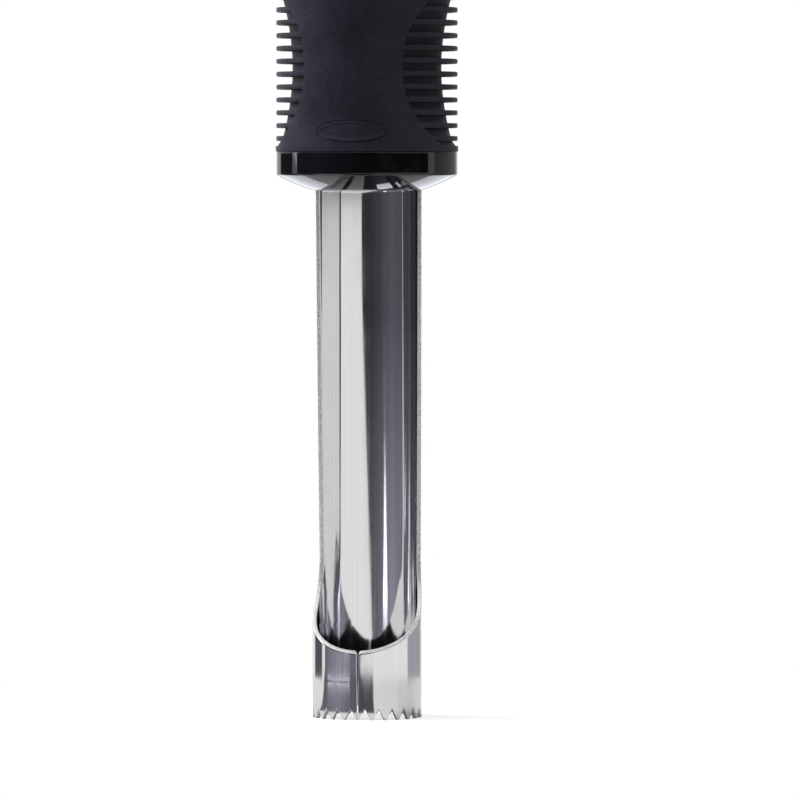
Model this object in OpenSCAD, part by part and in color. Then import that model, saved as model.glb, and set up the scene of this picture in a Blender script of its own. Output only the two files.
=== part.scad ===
// Apple corer: a rolled steel trough that ends in a toothed ring, held by a cross-pinned
// core and a gloss ferrule, under a soft grip with two windows of flexible fins.
// Millimetres. Z is the blade's axis and runs up from the tooth tips to the grip's butt.
// The open front of the trough faces -Y, and the fins face -X and +X.

/* [Blade] */
// Outer diameter of the rolled tube
tube_d = 20.6; // [18:0.1:23]
// Thickness of the steel sheet
sheet_t = 0.8; // [0.5:0.1:1.2]
// Length of blade that shows, from the tooth tips to the ferrule
blade_len = 99.4; // [80:0.2:130]
// Height of the closed ring at the front, above the tooth tips
ring_h = 12.6; // [9:0.2:20]
// Distance of the trough's edges behind the axis, at the ferrule
edge_top = 1.6; // [0.5:0.1:3]
// Distance of the trough's edges behind the axis, where the scoop starts
edge_low = 3.3; // [1:0.1:5]
// Radius of the scoop's curve, under the trough's edges
scoop_r = 15.5; // [10:0.5:22]
// Slope of the scoop where it reaches the front of the ring, in degrees
scoop_slope = 32; // [15:1:45]
// Gap of the butt seam at the front of the ring
seam_gap = 0.25; // [0.1:0.05:0.6]
// Corner cut from each sheet end at the top of the seam
seam_corner = 0.6; // [0.2:0.1:1.2]

/* [Teeth] */
// Number of teeth round the ring
tooth_count = 24; // [12:1:40]
// Height of a tooth
tooth_h = 2.2; // [1:0.1:4]
// Width of the flat at a tooth's tip
tooth_tip = 0.15; // [0.1:0.05:0.5]

/* [Tang] */
// Half of the angle that the tang spans, about the back of the tube
tang_half = 34; // [20:1:45]
// Length of the tang above the trough's shoulders
tang_len = 38; // [25:1:55]
// Diameter of the cross pins
pin_d = 3; // [2:0.1:4]
// Length of a cross pin
pin_len = 15; // [12:0.5:18]
// Distance of the lower pin above the shoulders
pin_low = 11; // [8:0.5:15]
// Distance between the two pins
pin_pitch = 18; // [10:0.5:22]

/* [Ferrule] */
// Height of the ferrule's straight outer band
band_h = 3.75; // [2.5:0.05:8]
// Radius of the ferrule's domed underside
dome_r = 35; // [28:0.5:60]
// Sag of the underside inside the trough
dome_sag = 0.5; // [0.2:0.1:1.2]
// Radius of the rounded edge between the band and the dome
band_round = 1; // [0.4:0.1:2]
// Thickness of the ferrule under the core's flange
ferrule_floor = 3.5; // [2.5:0.1:5]
// Thickness of the ferrule's rim round the flange
ferrule_rim = 2.6; // [2:0.1:4]
// Radius of the snap bead on the core's flange
bead_r = 0.4; // [0.2:0.05:0.6]

/* [Core] */
// Wall of the core outside the tang
core_wall = 1.7; // [1.2:0.1:3]
// Length of solid core above the tang's end
core_top_wall = 5; // [3:0.5:10]
// Diameter of the core's upper stalk
stalk_d = 15; // [10:0.5:18]
// Number of barbs on the stalk
barb_count = 4; // [2:1:6]
// Height of a barb
barb_h = 1.2; // [0.5:0.1:2]
// Length of a barb's slope
barb_len = 5; // [3:0.5:7]

/* [Grip] */
// Length of the soft grip
grip_len = 124; // [110:1:150]
// Wall of the grip under the floor of the fins
grip_wall = 1.8; // [1.2:0.05:4]
// Overhang of the grip's lower lip past the ferrule
lip_over = 0.15; // [0:0.05:0.5]
// Height of the round lower part of the grip
round_h = 36; // [30:1:50]
// Thickness of the butt, across the hang hole's mouths
butt_w = 22; // [16:0.5:28]
// Breadth of the butt, front to back
butt_d = 31; // [24:0.5:36]
// Length of the butt's rounded end
butt_round = 15; // [8:0.5:24]

/* [Fins] */
// Depth of the hollow under the fins, at its middle
fin_depth = 3.2; // [2:0.05:4]
// Thickness of a fin
fin_t = 0.95; // [0.6:0.05:1.5]
// Distance between fins
fin_pitch = 2.42; // [1.8:0.02:4]
// Height of the grip's lower lip
lip_h = 1.1; // [0.8:0.05:2]
// Height of the first fin's middle above the grip's lower edge
fin_first = 2.5; // [2.2:0.05:4]
// Height of the window's middle above the grip's lower edge
window_mid = 15.75; // [14:0.05:20]
// Half of the window's height
window_half_h = 15.6; // [11:0.1:18]
// Half of the window's breadth, front to back
window_half_d = 14.4; // [10:0.1:15]
// Radius of the hollow under the fins, along the grip
hollow_r = 49; // [40:1:90]

/* [Badge and hang hole] */
// Breadth of the bare oval pad at the front
pad_w = 13.4; // [8:0.1:18]
// Height of the pad
pad_h = 4; // [3:0.1:5]
// Height of the pad's middle above the grip's lower edge
pad_mid = 3.8; // [3.2:0.1:8]

// Distance that the pad stands proud
pad_proud = 0.3; // [0.1:0.05:0.6]
// Diameter of the hang hole
hang_d = 10; // [6:0.5:12]
// Distance of the hang hole from the end of the butt
hang_in = 17; // [12:0.5:24]
// Width of the hang hole's bevelled mouths
hang_bevel = 1.6; // [0.5:0.1:3]

/* [Fits] */
// Clearance between the blade and the slots that hold it
slot_gap = 0.1; // [0.05:0.01:0.2]
// Clearance between the core and what is fitted to it
core_gap = 0.1; // [0.05:0.01:0.2]
// Clearance round the cross pins
pin_gap = 0.04; // [0.01:0.01:0.1]

/* [Hidden] */
$fn = 96;
// Sides of the grip's cross-sections, of curved outlines, of the butt's end and of the bead
grip_sides = 72;
curve_steps = 24;
end_steps = 8;
bead_sides = 32;
// Exponent of the window's outline: 2 is an ellipse, and more is squarer
window_power = 2.5;
// Amount by which a cut runs past the face that it opens
past = 1;

tube_r = tube_d / 2;
bore_r = tube_r - sheet_t;
core_r = tube_r + slot_gap + core_wall;
grip_r = core_r + core_gap + grip_wall + fin_depth;
ferrule_r = grip_r - lip_over;
flange_r = ferrule_r - ferrule_rim;
stalk_r = stalk_d / 2;
hang_r = hang_d / 2;

// Heights up the axis: the dome meets the tube at blade_len
dome_mid_z = blade_len + sqrt(dome_r * dome_r - tube_r * tube_r);
band_z = dome_mid_z - sqrt(pow(dome_r - band_round, 2) - pow(ferrule_r - band_round, 2));
grip_z = band_z + band_h;
shoulder_z = blade_len + ferrule_floor;
tang_z = shoulder_z + tang_len;
core_step_z = tang_z + core_top_wall;
butt_z = grip_z + grip_len;
hang_z = butt_z - hang_in;
core_top_z = hang_z - hang_r - hang_bevel - core_top_wall;

// The scoop starts upright at the trough's edge, turns along an arc, and slopes to the ring's front
scoop_turn = 90 - scoop_slope;
scoop_y = edge_low - scoop_r * (1 - cos(scoop_turn));
scoop_z = ring_h + (scoop_y + tube_r) * tan(scoop_slope) + scoop_r * sin(scoop_turn);

function smooth(t) = t <= 0 ? 0 : t >= 1 ? 1 : t * t * (3 - 2 * t);
function mix(a, b, t) = a + (b - a) * t;

// Share of the way from the grip's round part to its butt, at a height above the lower edge
function taper(h) = smooth((h - round_h) / (grip_len - butt_round - round_h));
function end_scale(h) =
    let (over = (h - grip_len + butt_round) / butt_round)
    over <= 0 ? 1 : sqrt(max(0, 1 - over * over));
function half_w(h) = mix(grip_r, butt_w / 2, taper(h)) * end_scale(h);
function half_d(h) = mix(grip_r, butt_d / 2, taper(h)) * end_scale(h);

function signed_pow(v, p) = sign(v) * pow(abs(v), p);
function superellipse(a, b, p, steps) = [
    for (i = [0 : steps - 1])
        let (t = 360 * i / steps)
        [a * signed_pow(cos(t), 2 / p), b * signed_pow(sin(t), 2 / p)]
];

// Wall of the rolled tube between two heights, grown by a clearance
module tube_wall(z0, z1, gap = 0) {
    translate([0, 0, z0])
        difference() {
            cylinder(r = tube_r + gap, h = z1 - z0);
            translate([0, 0, -past])
                cylinder(r = bore_r - gap, h = z1 - z0 + 2 * past);
        }
}

// An outline in Y and Z, made into a bar that runs along X
module side_bar(points, half_len) {
    rotate([90, 0, 90])
        linear_extrude(height = 2 * half_len, center = true)
            polygon(points);
}

// Everything in front of the trough's edges and above the scoop, up to a height
module open_front(z1, gap = 0) {
    front = -tube_r - past;
    rise = (edge_top - edge_low) / (blade_len - scoop_z);
    top_edge = edge_low + rise * (z1 - scoop_z);
    arc = [
        for (i = [0 : curve_steps])
            let (t = scoop_turn * i / curve_steps)
            [edge_low - gap - scoop_r * (1 - cos(t)), scoop_z - scoop_r * sin(t)]
    ];
    slope_end = [front - gap, ring_h - past * tan(scoop_slope)];
    side_bar(concat([[front - gap, z1], [top_edge - gap, z1]], arc, [slope_end]), tube_r + past);
}

// A slice of the space round the axis, open towards the back, grown by a clearance
module back_wedge(half, z0, z1, gap = 0) {
    reach = 2 * tube_r;
    translate([0, -gap / sin(half), z0])
        linear_extrude(height = z1 - z0)
            polygon([[0, 0], [reach * tan(half), reach], [-reach * tan(half), reach]]);
}

// The cross pins' holes or bodies, from a depth in the core to a depth under its skin
module pin_rods(radius, inner, outer) {
    for (i = [0, 1])
        translate([0, inner, shoulder_z + pin_low + i * pin_pitch])
            rotate([-90, 0, 0])
                cylinder(r = radius, h = outer - inner);
}

// One notch between each two teeth: they stay apart at the bore, which leaves the tips flat
module tooth_gaps() {
    half_gap = PI * bore_r / tooth_count - tooth_tip / 2;
    for (i = [0 : tooth_count - 1])
        rotate([0, 0, 360 * (i + 1 / 2) / tooth_count])
            translate([0, -bore_r + sheet_t / 2, 0])
                rotate([90, 0, 0])
                    linear_extrude(height = sheet_t + past)
                        polygon([
                            [0, tooth_h],
                            [half_gap, 0],
                            [half_gap, -past],
                            [-half_gap, -past],
                            [-half_gap, 0]
                        ]);
}

// The slit where the sheet's two ends meet, with its corners cut off at the top
module seam_cut() {
    half = seam_gap / 2;
    translate([0, -bore_r + past, 0])
        rotate([90, 0, 0])
            linear_extrude(height = sheet_t + 2 * past)
                polygon([
                    [-half, -past],
                    [half, -past],
                    [half, ring_h - seam_corner],
                    [half + seam_corner + past, ring_h + past],
                    [-half - seam_corner - past, ring_h + past],
                    [-half, ring_h - seam_corner]
                ]);
}

module corer_blade() {
    color("silver")
        difference() {
            tube_wall(0, tang_z);
            open_front(shoulder_z);
            difference() {
                translate([0, 0, shoulder_z])
                    cylinder(r = tube_r + past, h = tang_len + past);
                back_wedge(tang_half, shoulder_z - past, tang_z + 2 * past);
            }
            tooth_gaps();
            seam_cut();
            pin_rods(pin_d / 2 + pin_gap, 0, tube_r + past);
        }
}

// Half of the ferrule's section: a dome under a straight band, flatter inside the trough
module ferrule_section() {
    dome_turn = asin((ferrule_r - band_round) / (dome_r - band_round));
    dome_start = asin(tube_r / dome_r);
    middle = [
        for (i = [0 : curve_steps - 1])
            let (t = i / curve_steps)
            [tube_r * t, blade_len - dome_sag * (1 - t * t)]
    ];
    dome = [
        for (i = [0 : curve_steps])
            let (a = mix(dome_start, dome_turn, i / curve_steps))
            [dome_r * sin(a), dome_mid_z - dome_r * cos(a)]
    ];
    edge = [
        for (i = [1 : curve_steps / 2])
            let (a = mix(dome_turn, 90, 2 * i / curve_steps))
            [ferrule_r - band_round * (1 - sin(a)), band_z - band_round * cos(a)]
    ];
    polygon(concat(middle, dome, edge, [[ferrule_r, grip_z], [0, grip_z]]));
}

module bead(gap = 0) {
    rotate_extrude()
        translate([flange_r - bead_r / 2, (shoulder_z + grip_z) / 2])
            circle(r = bead_r + gap, $fn = bead_sides);
}

module ferrule() {
    color("black")
        difference() {
            rotate_extrude()
                ferrule_section();
            translate([0, 0, shoulder_z])
                cylinder(r = flange_r + core_gap, h = grip_z - shoulder_z + past);
            bead(core_gap);
            difference() {
                tube_wall(blade_len - past - dome_sag, shoulder_z + past, slot_gap);
                open_front(shoulder_z + 2 * past, slot_gap);
            }
        }
}

// Half of the core's section above the flange, grown by a clearance
module core_section(gap = 0) {
    barb_room = (core_top_z - core_step_z) / barb_count;
    barbs = [
        for (i = [0 : barb_count - 1], corner = [0 : 2])
            let (z = core_step_z + barb_room * i + barb_room / 2 - gap)
            [
                stalk_r + gap + (corner == 1 ? barb_h : 0),
                corner == 2 ? z + min(barb_len, barb_room / 2 - barb_h) : z
            ]
    ];
    polygon(concat(
        [[0, grip_z - past], [core_r + gap, grip_z - past], [core_r + gap, core_step_z + gap],
            [stalk_r + gap, core_step_z + gap]],
        barbs,
        [[stalk_r + gap, core_top_z + gap], [0, core_top_z + gap]]
    ));
}

module handle_core() {
    color("dimgray")
        difference() {
            union() {
                rotate_extrude()
                    core_section();
                translate([0, 0, shoulder_z])
                    cylinder(r = flange_r, h = grip_z - shoulder_z);
                bead();
            }
            intersection() {
                tube_wall(shoulder_z - past, tang_z + slot_gap, slot_gap);
                back_wedge(tang_half, shoulder_z - 2 * past, tang_z + past, slot_gap);
            }
            pin_rods(pin_d / 2 + pin_gap, core_r - pin_len - pin_gap, core_r + past);
        }
}

module tang_pins() {
    color("gray")
        pin_rods(pin_d / 2, core_r - pin_len, core_r - pin_gap);
}

// Heights of the grip's cross-sections: one straight run, the taper, then the rounded end
function grip_heights() = concat(
    [0],
    [for (i = [0 : curve_steps / 2]) mix(round_h, grip_len - butt_round, 2 * i / curve_steps)],
    [for (i = [1 : end_steps - 1]) grip_len - butt_round * (1 - sin(90 * i / end_steps))]
);

module grip_form() {
    heights = grip_heights();
    rings = len(heights);
    tip = rings * grip_sides;
    points = concat(
        [
            for (h = heights, i = [0 : grip_sides - 1])
                let (a = 360 * i / grip_sides)
                [half_w(h) * cos(a), half_d(h) * sin(a), grip_z + h]
        ],
        [[0, 0, butt_z]]
    );
    sides = [
        for (k = [0 : rings - 2], i = [0 : grip_sides - 1], half = [0, 1])
            let (
                j = (i + 1) % grip_sides,
                low = k * grip_sides,
                high = low + grip_sides
            )
            half == 0 ? [low + i, high + i, high + j] : [low + i, high + j, low + j]
    ];
    cap = [
        for (i = [0 : grip_sides - 1])
            let (low = (rings - 1) * grip_sides)
            [low + i, tip, low + (i + 1) % grip_sides]
    ];
    polyhedron(points, concat([[for (i = [0 : grip_sides - 1]) i]], sides, cap));
}

// The layers between fins, from the lip to the top of the window
module fin_layers() {
    top = window_mid + window_half_h;
    count = floor((top - fin_first) / fin_pitch);
    layer_h = fin_pitch - fin_t;
    size = 2 * grip_r;
    translate([0, -size / 2, grip_z]) {
        translate([0, 0, lip_h])
            cube([size, size, fin_first - fin_t / 2 - lip_h]);
        for (i = [0 : count])
            translate([0, 0, fin_first + fin_t / 2 + i * fin_pitch])
                cube([size, size, layer_h]);
    }
}

// The hollow between the fins on the +X side: the window's outline, down to a curved floor
module fin_gaps() {
    difference() {
        intersection() {
            translate([0, 0, grip_z + window_mid])
                rotate([90, 0, 90])
                    linear_extrude(height = 2 * grip_r)
                        polygon(superellipse(window_half_d, window_half_h, window_power, grip_sides));
            fin_layers();
        }
        translate([-fin_depth, 0, grip_z + window_mid])
            rotate_extrude()
                difference() {
                    translate([0, -hollow_r / 2])
                        square([grip_r + hollow_r / 2, hollow_r]);
                    translate([grip_r + hollow_r, 0])
                        circle(r = hollow_r);
                }
    }
}

module pad() {
    intersection() {
        translate([0, 0, grip_z + pad_mid])
            rotate([90, 0, 0])
                linear_extrude(height = 2 * grip_r)
                    polygon(superellipse(pad_w / 2, pad_h / 2, 2, grip_sides));
        translate([0, 0, grip_z])
            difference() {
                cylinder(r = grip_r + pad_proud, h = round_h);
                translate([0, 0, -past])
                    cylinder(r = grip_r - fin_depth / 2, h = round_h + 2 * past);
            }
    }
}

module hang_hole() {
    // Each mouth's flare starts a bevel's width inside the grip and runs on past its rounded side
    mouth = half_w(grip_len - hang_in);
    flare = 3 * hang_bevel;
    translate([0, 0, hang_z])
        rotate([0, 90, 0]) {
            cylinder(r = hang_r, h = 4 * grip_r, center = true);
            for (side = [0, 1])
                mirror([0, 0, side])
                    translate([0, 0, mouth - hang_bevel])
                        cylinder(r1 = hang_r, r2 = hang_r + flare, h = flare);
        }
}

module grip_sleeve() {
    color("#26252c")
        difference() {
            union() {
                grip_form();
                pad();
            }
            fin_gaps();
            mirror([1, 0, 0])
                fin_gaps();
            rotate_extrude()
                core_section(core_gap);
            hang_hole();
        }
}

corer_blade();
ferrule();
handle_core();
tang_pins();
grip_sleeve();
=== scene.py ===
# %% [markdown]
# # An apple corer: rolled steel, a gloss ferrule and a finned soft grip
# The corer stands upright on its teeth. Its solids come from the CAD frame, which is loaded
# first and never moved: each step below makes a finer piece in the same place, in metres.
# Lengths are written in millimetres, because a maker measures them that way, and turned to
# metres when a mesh is made.

# %% The CAD frame
import math

import bmesh
import bpy
import numpy as np
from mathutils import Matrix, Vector


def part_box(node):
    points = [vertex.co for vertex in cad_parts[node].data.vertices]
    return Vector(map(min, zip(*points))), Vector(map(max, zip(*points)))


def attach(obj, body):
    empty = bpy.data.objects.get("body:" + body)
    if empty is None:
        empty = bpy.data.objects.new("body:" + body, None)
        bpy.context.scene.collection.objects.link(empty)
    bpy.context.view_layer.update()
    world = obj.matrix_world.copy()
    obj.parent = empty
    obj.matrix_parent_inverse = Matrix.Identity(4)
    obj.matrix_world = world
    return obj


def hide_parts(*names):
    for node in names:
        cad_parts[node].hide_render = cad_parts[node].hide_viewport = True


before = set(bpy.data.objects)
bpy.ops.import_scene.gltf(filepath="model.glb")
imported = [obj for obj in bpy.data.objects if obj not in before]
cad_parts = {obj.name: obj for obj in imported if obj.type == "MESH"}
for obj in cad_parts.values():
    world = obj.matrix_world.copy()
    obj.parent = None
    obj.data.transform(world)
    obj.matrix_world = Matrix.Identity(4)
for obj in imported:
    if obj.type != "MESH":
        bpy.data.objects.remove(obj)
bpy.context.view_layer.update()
MM = 0.001
grip_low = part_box("grip_sleeve")[0].z / MM
grip_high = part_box("grip_sleeve")[1].z / MM
print("CAD nodes:", sorted(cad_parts))
print("the grip runs from %.2f to %.2f mm" % (grip_low, grip_high))

# %% [markdown]
# ## A few small helpers
# Every finish and every node tree below is made by two functions: one adds a node, and the other
# wires its inputs. A step then reads as a list of nodes with their settings. Colours are written
# as a painter would note them, in sRGB hex, and turned to the linear values that the renderer
# works in.

# %% Helpers for nodes, colours and objects
NODE_STEP = 200


def linear(hex_code):
    """The linear colour of an sRGB hex value."""
    shares = [int(hex_code[i:i + 2], 16) / 255 for i in (1, 3, 5)]
    low = [share / 12.92 for share in shares]
    high = [((share + 0.055) / 1.055) ** 2.4 for share in shares]
    return tuple(a if share <= 0.04045 else b for a, b, share in zip(low, high, shares)) + (1.0,)


def wire(tree, item, inputs):
    """Sets a node's inputs, or links them to a socket or to another node's first output."""
    for name, value in inputs.items():
        if isinstance(value, bpy.types.Node):
            value = value.outputs[0]
        if isinstance(value, bpy.types.NodeSocket):
            tree.links.new(value, item.inputs[name])
        else:
            item.inputs[name].default_value = value


def add(tree, kind, inputs=None, **settings):
    """Adds a node, sets its properties and wires its inputs."""
    item = tree.nodes.new(kind)
    item.location = (NODE_STEP * len(tree.nodes), 0)
    for name, value in settings.items():
        setattr(item, name, value)
    wire(tree, item, inputs or {})
    return item


def finish_of(name):
    """A new material with its tree, its shader and its object coordinates."""
    material = bpy.data.materials.new(name)
    material.use_nodes = True
    tree = material.node_tree
    shader = tree.nodes["Principled BSDF"]
    place = add(tree, "ShaderNodeTexCoord").outputs["Object"]
    return material, tree, shader, place


def placed(name, data):
    """A new object in the scene."""
    item = bpy.data.objects.new(name, data)
    bpy.context.scene.collection.objects.link(item)
    return item


print("white is", linear("#ffffff"))

# %% [markdown]
# ## Polished stainless steel
# The blade is 18/8 sheet, polished before it is rolled. Polishing leaves faint lines along the
# sheet, so reflections stay crisp up and down and smear a little sideways. A noise that is
# stretched along the blade gives the lines: it moves the roughness and tilts the surface a
# little. The real lines are about 0.05 mm apart, too fine to show here, so they are drawn at
# 0.3 mm. A second, wide noise adds the cloudy patches of handled steel.

# %% The steel of the walls
LINE_STEP = 0.3 * MM
LINE_RUN = 60 * MM
CLOUD_SIZE = 9 * MM
polished_steel, tree, shader, place = finish_of("polished_stainless_steel")
along = add(tree, "ShaderNodeMapping", {
    "Vector": place, "Scale": (1 / LINE_STEP, 1 / LINE_STEP, 1 / LINE_RUN)})
lines = add(tree, "ShaderNodeTexNoise", {"Vector": along, "Scale": 1.0, "Detail": 3.0})
clouds = add(tree, "ShaderNodeTexNoise", {
    "Vector": place, "Scale": 1 / CLOUD_SIZE, "Detail": 4.0})
blotch = add(tree, "ShaderNodeMath", {0: lines, 1: clouds}, operation="MULTIPLY")
gloss = add(tree, "ShaderNodeMapRange", {
    "Value": blotch, "From Min": 0.1, "From Max": 0.45, "To Min": 0.04, "To Max": 0.12})
grey = add(tree, "ShaderNodeValToRGB", {"Fac": lines})
grey.color_ramp.elements[0].color = linear("#e2e2e3")
grey.color_ramp.elements[1].color = linear("#f4f4f4")
dents = add(tree, "ShaderNodeBump", {
    "Height": lines, "Strength": 0.04, "Distance": 0.01 * MM})
wire(tree, shader, {"Base Color": grey, "Roughness": gloss, "Normal": dents, "Metallic": 1.0})
print("made", polished_steel.name)

# %% [markdown]
# ## Sheared steel edges
# The sheet's edges were punched and only lightly deburred. They are rougher than the walls and
# speckled, so they catch the light as a broken bright line. A fine noise drives both the colour
# and the bump; its grain is drawn at 0.35 mm so that it shows. Torn metal scatters some of its
# light, so the shader is a little less than fully metallic.

# %% The steel of the cut edges
GRAIN_SIZE = 0.35 * MM
edge_steel, tree, shader, place = finish_of("sheared_stainless_edge")
grain = add(tree, "ShaderNodeTexNoise", {
    "Vector": place, "Scale": 1 / GRAIN_SIZE, "Detail": 4.0, "Roughness": 0.65})
speckle = add(tree, "ShaderNodeValToRGB", {"Fac": grain})
speckle.color_ramp.elements[0].position = 0.35
speckle.color_ramp.elements[0].color = linear("#c4c4c6")
speckle.color_ramp.elements[1].position = 0.6
speckle.color_ramp.elements[1].color = linear("#fafafa")
rough = add(tree, "ShaderNodeMapRange", {"Value": grain, "To Min": 0.22, "To Max": 0.45})
pits = add(tree, "ShaderNodeBump", {"Height": grain, "Strength": 0.35, "Distance": 0.05 * MM})
wire(tree, shader, {"Base Color": speckle, "Roughness": rough, "Normal": pits, "Metallic": 0.7})
print("made", edge_steel.name)

# %% [markdown]
# ## The blank of the blade
# On the real tool, the blade is a flat blank, punched with its scoop and teeth and then rolled
# round a mandrel. It could be cut from a tube with booleans, but those leave ragged faces that
# show in a mirror finish. Here the blank is drawn flat as a net of quads, in arc length, wall
# depth and height, and the next step rolls it. Below the scoop the net hangs in columns, so that
# each tooth has its own; above it, rows follow the trough's narrowing edges. A rolled sheet is
# never quite round. The trough's inner face waves by up to 0.2 mm, too little to see as a shape,
# but it is what makes the mirrored room look like a rolled sheet's and not a drawn tube's.

# %% Sizes of the blade
TUBE_R = 10.3
BORE_R = 9.5
ROLL_R = (TUBE_R + BORE_R) / 2
BLADE_LEN = 99.4
SHOULDER_Z = 102.9
TANG_Z = 140.9
RING_H = 12.6
EDGE_TOP = 1.6
EDGE_LOW = 3.3
SCOOP_R = 15.5
SCOOP_SLOPE = math.radians(32)
SCOOP_TURN = math.pi / 2 - SCOOP_SLOPE
SCOOP_Y = EDGE_LOW - SCOOP_R * (1 - math.cos(SCOOP_TURN))
SCOOP_Z = RING_H + (SCOOP_Y + TUBE_R) * math.tan(SCOOP_SLOPE) + SCOOP_R * math.sin(SCOOP_TURN)


def edge_depth(z):
    """How far behind the axis the trough's edge lies at a height."""
    if z >= SCOOP_Z:
        return EDGE_LOW + (EDGE_TOP - EDGE_LOW) * (z - SCOOP_Z) / (BLADE_LEN - SCOOP_Z)
    turn = math.asin(min(1.0, (SCOOP_Z - z) / SCOOP_R))
    if turn <= SCOOP_TURN:
        return EDGE_LOW - SCOOP_R * (1 - math.cos(turn))
    return (z - RING_H) / math.tan(SCOOP_SLOPE) - TUBE_R


def scoop_height(y):
    """The height of the scoop's cut at a distance behind the axis."""
    if y >= SCOOP_Y:
        return SCOOP_Z - SCOOP_R * math.sin(math.acos(1 - (EDGE_LOW - y) / SCOOP_R))
    return RING_H + (y + TUBE_R) * math.tan(SCOOP_SLOPE)


print("the scoop starts at %.2f mm and ends %.2f mm up" % (SCOOP_Z, RING_H))

# %% Columns of the ring, one set for each wall of the sheet
TOOTH_COUNT = 24
TOOTH_H = 2.2
TOOTH_TIP = 0.15
TOOTH_TURN = 360 / TOOTH_COUNT
HALF_NOTCH = math.pi * BORE_R / TOOTH_COUNT - TOOTH_TIP / 2
NOTCH_STEPS = 8
SEAM_HALF = 0.125
SEAM_CORNER = 0.6
SEAM_STEPS = (0.6, 0.34, 0.14, 0.0)
SPLIT_TEETH = 7.5
SPLIT_TURN = TOOTH_TURN * SPLIT_TEETH


def seam_end(radius):
    """The angle, from the back, at which the sheet ends beside the seam."""
    return 180 - math.degrees(math.asin(SEAM_HALF / radius))


def half_columns(radius):
    """Angles of the columns from the back to the seam, in steps over each notch of the teeth."""
    flank = math.degrees(math.asin(HALF_NOTCH / radius))
    angles = []
    for k in range(TOOTH_COUNT // 2):
        middle = TOOTH_TURN * (k + 0.5)
        angles += [middle + flank * share for share in np.linspace(-1, 1, NOTCH_STEPS + 1)]
    near_seam = [seam_end(radius) - math.degrees(step / radius) for step in SEAM_STEPS]
    return angles[:-NOTCH_STEPS // 2] + near_seam


def tooth_height(angle, radius):
    """The height of the toothed edge above the tips."""
    middle = (math.floor(abs(angle) / TOOTH_TURN) + 0.5) * TOOTH_TURN
    off = abs(radius * math.sin(math.radians(abs(angle) - middle)))
    return max(0.0, TOOTH_H * (1 - off / HALF_NOTCH))


def ring_top(angle, radius):
    """The height where a column of the ring ends: the trough's first row, or the scoop's cut."""
    turn = max(abs(angle), SPLIT_TURN)
    top = scoop_height(radius * math.cos(math.radians(turn)))
    to_seam = math.radians(seam_end(radius) - abs(angle)) * radius
    bite = max(0.0, SEAM_CORNER - to_seam)
    return top - SEAM_CORNER + math.sqrt(SEAM_CORNER ** 2 - bite ** 2)


print("columns in half a ring:", len(half_columns(BORE_R)))

# %% Points of the flat net, for both walls of the sheet
RING_ROWS = 11
TOOTH_HEM = 0.12
RIM_HEM = 0.3
SCOOP_ROWS = 14
TROUGH_ROWS = 26
TANG_ROWS = 4
TANG_REACH = 45.5
CLOSE = 0.01
half = half_columns(BORE_R)
both_halves = half[::-1] + half
in_ring = range(len(both_halves))
in_trough = [j for j in in_ring if both_halves[j] <= SPLIT_TURN + CLOSE]
in_tang = [j for j in in_ring if both_halves[j] <= TANG_REACH]


def ring_heights(low, high):
    """Heights of a column's points, with a narrow row along each cut edge to keep the wall flat."""
    return [low, *np.linspace(low + TOOTH_HEM, high - RIM_HEM, RING_ROWS - 2), high]


def wall_points(radius):
    """Flat points of one wall, as (angle, height): ring rows, then trough rows, then tang rows."""
    angles = half_columns(radius)
    angles = [-a for a in angles[::-1]] + angles
    columns = [ring_heights(tooth_height(a, radius), ring_top(a, radius)) for a in angles]
    points = [(a, z) for row in zip(*columns) for a, z in zip(angles, row)]
    start = ring_top(0, radius)
    heights = list(np.linspace(start, SCOOP_Z, SCOOP_ROWS + 1)[1:])
    heights += list(np.linspace(SCOOP_Z, SHOULDER_Z, TROUGH_ROWS + 1)[1:])
    for z in heights:
        spread = math.degrees(math.acos(edge_depth(z) / radius)) / SPLIT_TURN
        points += [(angles[j] * spread, z) for j in in_trough]
    for z in np.linspace(SHOULDER_Z, TANG_Z, TANG_ROWS + 1)[1:]:
        points += [(angles[j] * spread, z) for j in in_tang]
    return points


outer = wall_points(TUBE_R)
inner = wall_points(BORE_R)
print("points in each wall:", len(outer))

# %% Quads of the flat net, and the cut edges between its walls
def strip(low, high):
    """Quads between two rows of points."""
    return [(low[j], low[j + 1], high[j + 1], high[j]) for j in range(len(low) - 1)]


def wall_quads():
    """Quads of one wall, shared by both because their points come in the same order."""
    quads = []
    below = {}
    number = 0
    for rows, columns in ((RING_ROWS, in_ring), (SCOOP_ROWS + TROUGH_ROWS, in_trough),
                          (TANG_ROWS, in_tang)):
        for _ in range(rows):
            row = {j: number + n for n, j in enumerate(columns)}
            number += len(row)
            if below:
                quads += strip([below[j] for j in columns], list(row.values()))
            below = row
    return quads


quads = wall_quads()
uses = {}
for quad in quads:
    for a, b in zip(quad, quad[1:] + quad[:1]):
        uses.setdefault(frozenset((a, b)), []).append((a, b))
cut = [pairs[0] for pairs in uses.values() if len(pairs) == 1]
print("quads in each wall: %d, cut edges: %d" % (len(quads), len(cut)))

# %% Waves of the trough's inner face
WAVES = ((0.108, -41.4, 3.8), (-0.2, -61.4, 12.0), (0.029, -39.0, 11.4), (-0.046, -70.1, 4.2),
         (0.099, 49.5, 15.5), (0.085, 35.1, 3.7), (0.022, 79.5, 5.3))
WAVE_FROM = 22.0
WAVE_FULL = 36.0


def wave(angle, z):
    """How far the inner face lies off a true round: humps of a depth, a middle and a breadth."""
    size = sum(depth * math.exp(-((angle - middle) / wide) ** 2) for depth, middle, wide in WAVES)
    return size * np.interp(z, (WAVE_FROM, WAVE_FULL), (0, 1))


print("the face waves by up to %.2f mm" % max(abs(wave(a, WAVE_FULL)) for a, z in inner))

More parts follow.
